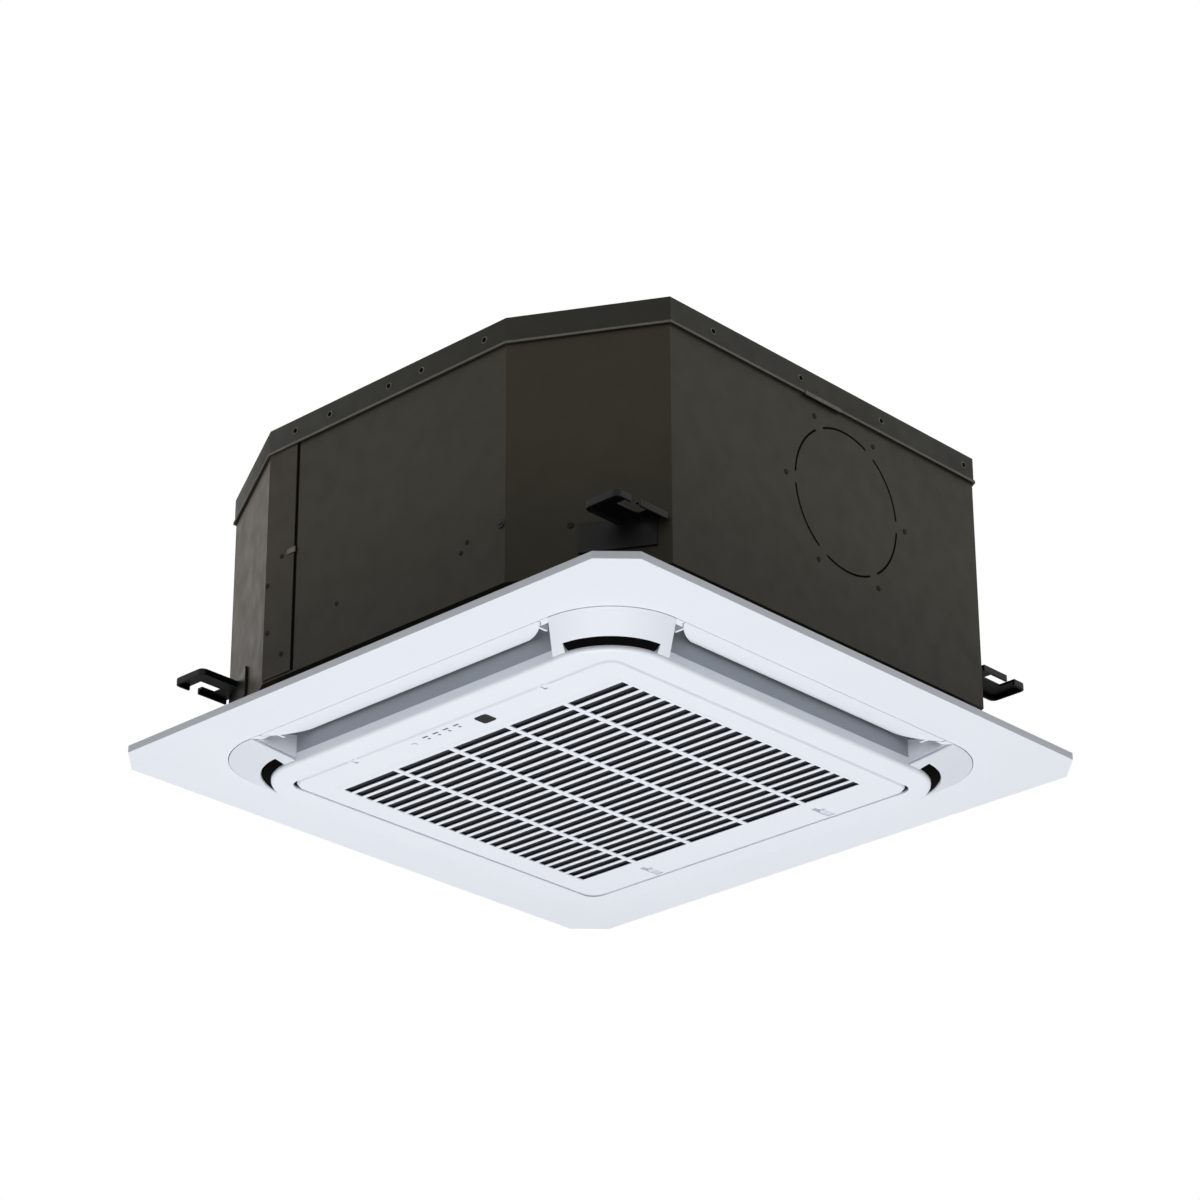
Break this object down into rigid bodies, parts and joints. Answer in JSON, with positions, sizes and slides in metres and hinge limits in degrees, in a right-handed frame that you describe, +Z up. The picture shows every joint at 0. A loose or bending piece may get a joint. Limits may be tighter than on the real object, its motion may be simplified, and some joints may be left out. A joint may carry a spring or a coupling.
{
  "type": "ceiling cassette air conditioner",
  "caption": "Ceiling air conditioner: sheet-steel body with hanging lugs above a square white panel with louvred outlets and a hinged intake grille.",
  "frame": {"origin": "middle of the ceiling opening, in the plane of the ceiling's face, which the panel's rim touches", "axes": "+Z up into the ceiling; -Y towards the grille's hinge and signal strip; -X towards the pipes"},
  "size_m": [0.647, 0.647, 0.3237],
  "materials": {
    "body_steel": "dark olive-grey coated sheet, satin",
    "lug_steel": "black coated pressed steel",
    "foam": "white moulded foam",
    "seal_foam": "dark soft foam",
    "coil_fins": "thin fins",
    "copper": "bare copper tube",
    "brass": "machined",
    "grey_plastic": "moulded",
    "black_rubber": "moulded rubber",
    "black_plastic": "moulded",
    "motor_steel": "bright steel",
    "board": "coated circuit board",
    "white_plastic": "satin white moulding",
    "filter": "dark mesh",
    "clear_guide": "milky clear",
    "dark_lens": "smoked window"
  },
  "bodies": {
    "housing": {"top_plate": "body_steel", "casing_wrap": "body_steel", "corner_sheet": "body_steel", "pipe_plate": "body_steel", "motor_bracket": "body_steel", "control_box": "body_steel", "control_box_cover": "body_steel", "coil_partition": "body_steel", "hanger_lug_1": "lug_steel", "hanger_lug_2": "lug_steel", "hanger_lug_3": "lug_steel", "hanger_lug_4": "lug_steel", "insulation_liner": "foam", "drain_pan": "foam", "duct_seal": "seal_foam", "evaporator_coil": "coil_fins", "coil_end_left": "copper", "coil_end_right": "copper", "gas_pipe": "copper", "liquid_pipe": "copper", "gas_flare_nut": "brass", "liquid_flare_nut": "brass", "drain_pump": "grey_plastic", "drain_outlet": "grey_plastic", "float_rod": "grey_plastic", "drain_hose": "black_rubber", "motor_bush_1": "black_rubber", "motor_bush_2": "black_rubber", "motor_bush_3": "black_rubber", "bell_mouth": "black_plastic", "terminal_block": "black_plastic", "louvre_motor_1": "black_plastic", "louvre_motor_2": "black_plastic", "louvre_motor_3": "black_plastic", "louvre_motor_4": "black_plastic", "fan_motor": "motor_steel", "hinge_pin_1": "motor_steel", "hinge_pin_2": "motor_steel", "control_board": "board", "panel_frame": "white_plastic", "corner_cover_1": "white_plastic", "corner_cover_2": "white_plastic", "corner_cover_3": "white_plastic", "corner_cover_4": "white_plastic"},
    "fan": {"turbo_fan": "grey_plastic", "motor_shaft": "motor_steel", "fan_nut": "motor_steel"},
    "louvre_1": {"louvre_1": "white_plastic"},
    "louvre_2": {"louvre_2": "white_plastic"},
    "louvre_3": {"louvre_3": "white_plastic"},
    "louvre_4": {"louvre_4": "white_plastic"},
    "grille": {"intake_grille": "white_plastic", "display_board": "board", "light_guide": "clear_guide", "receiver_window": "dark_lens"},
    "filter": {"air_filter": "filter"},
    "latch_1": {"grille_latch_1": "white_plastic"},
    "latch_2": {"grille_latch_2": "white_plastic"},
    "button": {"manual_button": "white_plastic"},
    "float": {"pump_float": "grey_plastic"}
  },
  "joints": [
    {"name": "fan_spin", "type": "hinge", "parent": "housing", "child": "fan", "pos_m": [0, 0, 0], "axis": [0, 0, 1], "continuous": true},
    {"name": "louvre_swing_1", "type": "hinge", "parent": "housing", "child": "louvre_1", "pos_m": [0, -0.25, 0.002], "axis": [1, 0, 0], "range_deg": [0, 45]},
    {"name": "louvre_swing_2", "type": "hinge", "parent": "housing", "child": "louvre_2", "pos_m": [0.25, 0, 0.002], "axis": [0, 1, 0], "range_deg": [0, 45]},
    {"name": "louvre_swing_3", "type": "hinge", "parent": "housing", "child": "louvre_3", "pos_m": [0, 0.25, 0.002], "axis": [-1, 0, 0], "range_deg": [0, 45]},
    {"name": "louvre_swing_4", "type": "hinge", "parent": "housing", "child": "louvre_4", "pos_m": [-0.25, 0, 0.002], "axis": [0, -1, 0], "range_deg": [0, 45]},
    {"name": "grille_hinge", "type": "hinge", "parent": "housing", "child": "grille", "pos_m": [0, -0.2022, -0.027], "axis": [-1, 0, 0], "range_deg": [0, 85]},
    {"name": "filter_lift", "type": "slide", "parent": "grille", "child": "filter", "axis": [0, 0, 1], "range_m": [0, 0.008]},
    {"name": "latch_slide_1", "type": "slide", "parent": "grille", "child": "latch_1", "axis": [0, -1, 0], "range_m": [0, 0.008], "stiffness_N_per_m": 150},
    {"name": "latch_slide_2", "type": "slide", "parent": "grille", "child": "latch_2", "axis": [0, -1, 0], "range_m": [0, 0.008], "stiffness_N_per_m": 150},
    {"name": "button_press", "type": "slide", "parent": "grille", "child": "button", "axis": [0, 0, 1], "range_m": [0, 0.001], "stiffness_N_per_m": 300},
    {"name": "float_rise", "type": "slide", "parent": "housing", "child": "float", "axis": [0, 0, 1], "range_m": [0, 0.01]}
  ]
}
